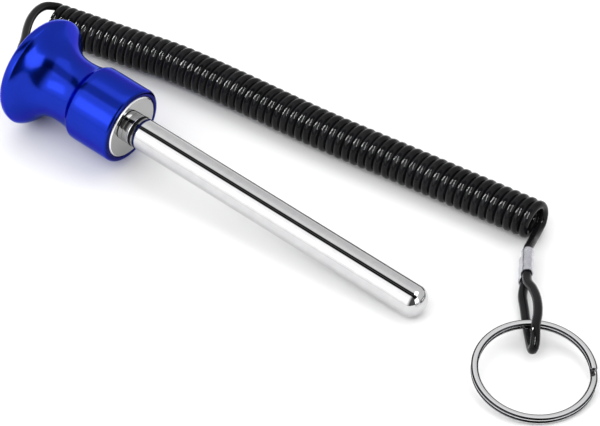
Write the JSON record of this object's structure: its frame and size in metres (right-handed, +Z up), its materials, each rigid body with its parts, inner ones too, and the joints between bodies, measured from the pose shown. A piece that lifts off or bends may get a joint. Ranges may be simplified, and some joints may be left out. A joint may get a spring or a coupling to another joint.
{
  "type": "hitch pin",
  "caption": "Straight steel hitch pin with a magnetic collar face and a flared grip knob, tethered by a curly cord to a split ring.",
  "frame": {"origin": "bottom centre of the box round the pin and its knob, on the surface they lie on", "axes": "+X along the pin from the knob towards the tip, +Z up from the surface the knob's flare and the pin's tip rest on, +Y towards the side where the curly cord lies"},
  "size_m": [0.2909, 0.0925, 0.0447],
  "materials": {
    "polished_chrome": "mirror-bright chrome plating on steel",
    "nickel_plate": "bright nickel plating on the ring magnet",
    "zinc_plated_steel": "dull zinc plating",
    "bright_ring_steel": "bright nickel-plated spring wire",
    "bare_aluminium": "bare drawn tube, crimped",
    "blue_anodising": "glossy cobalt-blue anodising",
    "black_cord": "glossy black plastic sheath",
    "black_rubber": "matt black rubber"
  },
  "bodies": {
    "pin_and_knob": {"hitch_pin": "polished_chrome", "grip_knob": "blue_anodising", "ring_magnet": "nickel_plate", "magnet_backing_plate": "zinc_plated_steel", "anti_rattle_ring": "black_rubber", "cord_stop_ferrule": "zinc_plated_steel", "lanyard_lead": "black_cord", "lanyard_coil": "black_cord"},
    "cord_end": {"lanyard_loop": "black_cord", "crimp_sleeve": "bare_aluminium"},
    "key_ring": {"split_ring": "bright_ring_steel"}
  },
  "joints": [
    {"name": "coil_stretch", "type": "slide", "parent": "pin_and_knob", "child": "cord_end", "axis": [0.995, 0.1, 0], "range_m": [0, 0.44], "stiffness_N_per_m": 30},
    {"name": "ring_flip", "type": "hinge", "parent": "cord_end", "child": "key_ring", "pos_m": [0.1309, 0.01601, 0.00671], "axis": [-0.7728, -0.6333, 0.0415], "range_deg": [0, 165]}
  ]
}
